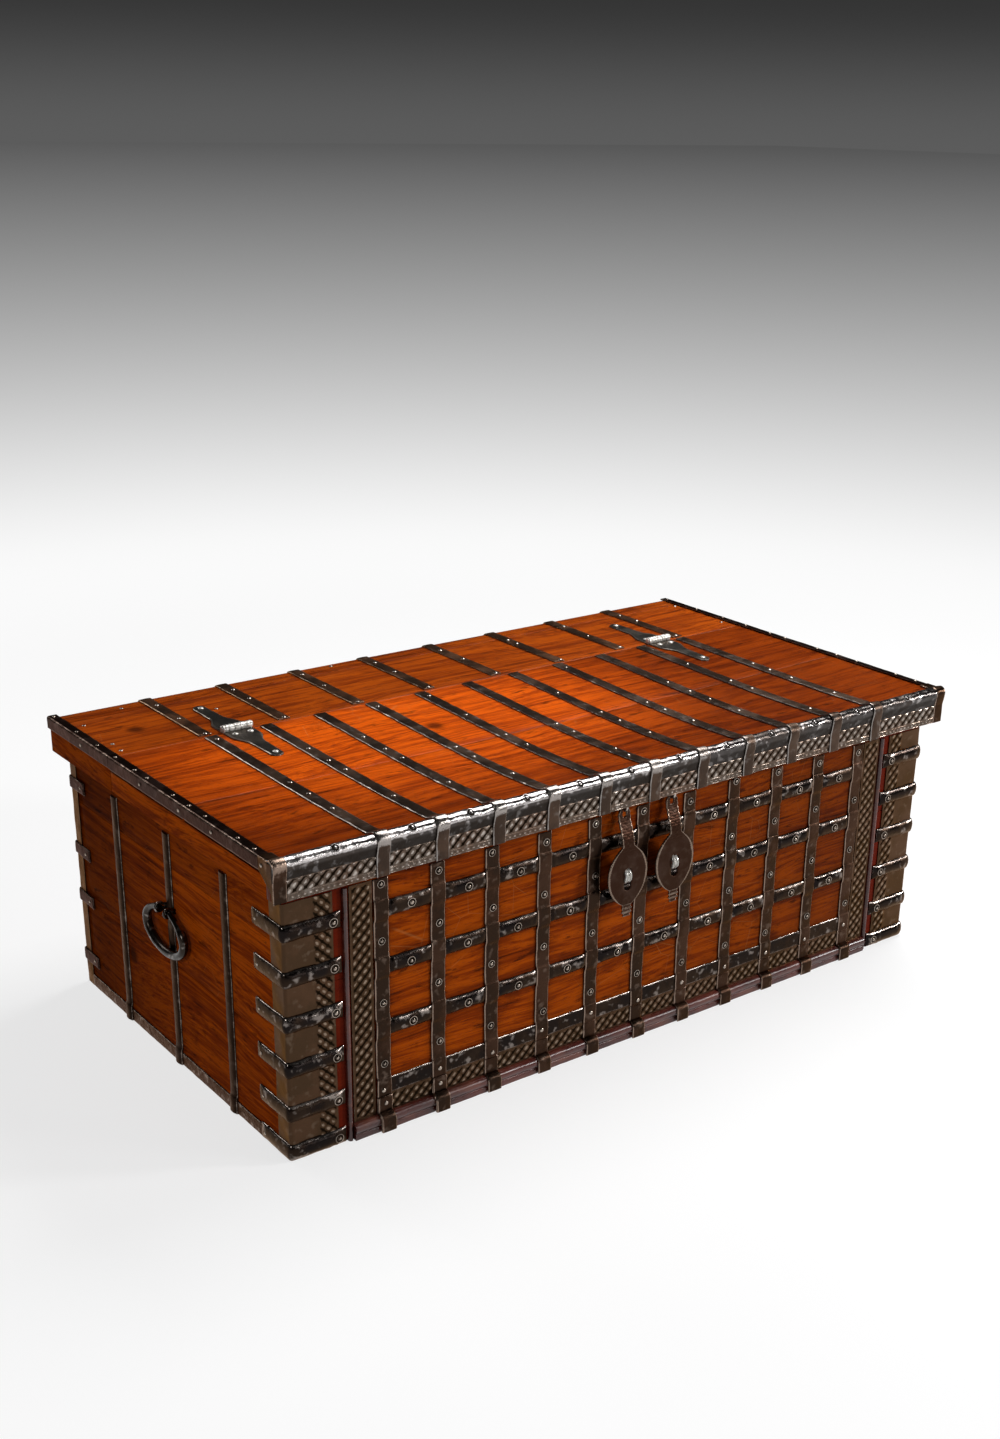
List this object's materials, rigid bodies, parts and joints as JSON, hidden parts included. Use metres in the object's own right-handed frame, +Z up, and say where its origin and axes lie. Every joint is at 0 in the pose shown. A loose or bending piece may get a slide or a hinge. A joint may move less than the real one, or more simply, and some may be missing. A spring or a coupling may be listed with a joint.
{
  "type": "iron-bound chest",
  "caption": "Low hardwood chest bound with wrought iron straps, with a strap-hinged lid over the front part of its top, pear-shaped hasps over staples and bail handles on its ends.",
  "frame": {"origin": "on the floor under the middle of the chest, at the centre of its outline", "axes": "+X along the chest's length to its right end as seen from the front, -Y towards the front with the hasps, +Z up"},
  "size_m": [1.3, 0.715, 0.4769],
  "materials": {
    "hardwood": "polished reddish-brown hardwood, worn and scratched",
    "red_moulding": "dark red-brown polished hardwood",
    "dark_iron": "wrought iron, brown-black patina, rubbed bright on edges",
    "embossed_iron": "sheet iron embossed with a lattice, brown patina with bright high points",
    "black_iron": "blackened iron, dusty and slightly greenish",
    "bright_steel": "steel rubbed bright in use"
  },
  "bodies": {
    "root": {"front_panel": "hardwood", "back_panel": "hardwood", "left_panel": "hardwood", "right_panel": "hardwood", "bottom_panel": "hardwood", "base_moulding": "red_moulding", "left_stile_moulding": "red_moulding", "right_stile_moulding": "red_moulding", "rear_top_board": "hardwood", "rear_slip_board": "hardwood", "rear_left_apron": "hardwood", "rear_right_apron": "hardwood", "rear_rail": "hardwood", "front_straps": "dark_iron", "left_lattice_strip": "embossed_iron", "right_lattice_strip": "embossed_iron", "lattice_band": "embossed_iron", "front_left_corner": "dark_iron", "front_right_corner": "dark_iron", "back_left_corner": "dark_iron", "back_right_corner": "dark_iron", "left_end_binding": "dark_iron", "right_end_binding": "dark_iron", "rear_strap_1": "dark_iron", "rear_strap_2": "dark_iron", "rear_strap_3": "dark_iron", "rear_strap_4": "dark_iron", "rear_strap_5": "dark_iron", "rear_strap_6": "dark_iron", "rear_strap_7": "dark_iron", "rear_strap_8": "dark_iron", "rear_left_edge_iron": "dark_iron", "rear_right_edge_iron": "dark_iron", "left_hinge_rear_leaf": "black_iron", "left_hinge_pin": "bright_steel", "right_hinge_rear_leaf": "black_iron", "right_hinge_pin": "bright_steel", "left_staple": "bright_steel", "right_staple": "bright_steel", "left_bail_front_eye": "dark_iron", "left_bail_rear_eye": "dark_iron", "right_bail_front_eye": "dark_iron", "right_bail_rear_eye": "dark_iron"},
    "lid": {"lid_front_board": "hardwood", "lid_rear_board": "hardwood", "lid_front_rail": "hardwood", "lid_left_apron": "hardwood", "lid_right_apron": "hardwood", "lid_left_edge_iron": "dark_iron", "lid_right_edge_iron": "dark_iron", "lid_binding": "dark_iron", "lid_lattice_strip": "embossed_iron", "left_hinge_front_leaf": "black_iron", "right_hinge_front_leaf": "black_iron", "left_hasp_loop": "dark_iron", "right_hasp_loop": "dark_iron"},
    "left_hasp": {"left_hasp": "dark_iron"},
    "right_hasp": {"right_hasp": "dark_iron"},
    "left_handle": {"left_bail": "dark_iron"},
    "right_handle": {"right_bail": "dark_iron"}
  },
  "joints": [
    {"name": "lid_hinge", "type": "hinge", "parent": "root", "child": "lid", "pos_m": [0, 0.1355, 0.4707], "axis": [-1, 0, 0], "range_deg": [0, 170]},
    {"name": "left_hasp_swing", "type": "hinge", "parent": "lid", "child": "left_hasp", "pos_m": [-0.04725, -0.3428, 0.406], "axis": [-1, 0, 0], "range_deg": [0, 90]},
    {"name": "right_hasp_swing", "type": "hinge", "parent": "lid", "child": "right_hasp", "pos_m": [0.04725, -0.3428, 0.406], "axis": [-1, 0, 0], "range_deg": [0, 90]},
    {"name": "left_bail_swing", "type": "hinge", "parent": "root", "child": "left_handle", "pos_m": [-0.6371, 0.004, 0.262], "axis": [0, 1, 0], "range_deg": [0, 165]},
    {"name": "right_bail_swing", "type": "hinge", "parent": "root", "child": "right_handle", "pos_m": [0.6371, 0.004, 0.262], "axis": [0, -1, 0], "range_deg": [0, 165]}
  ]
}
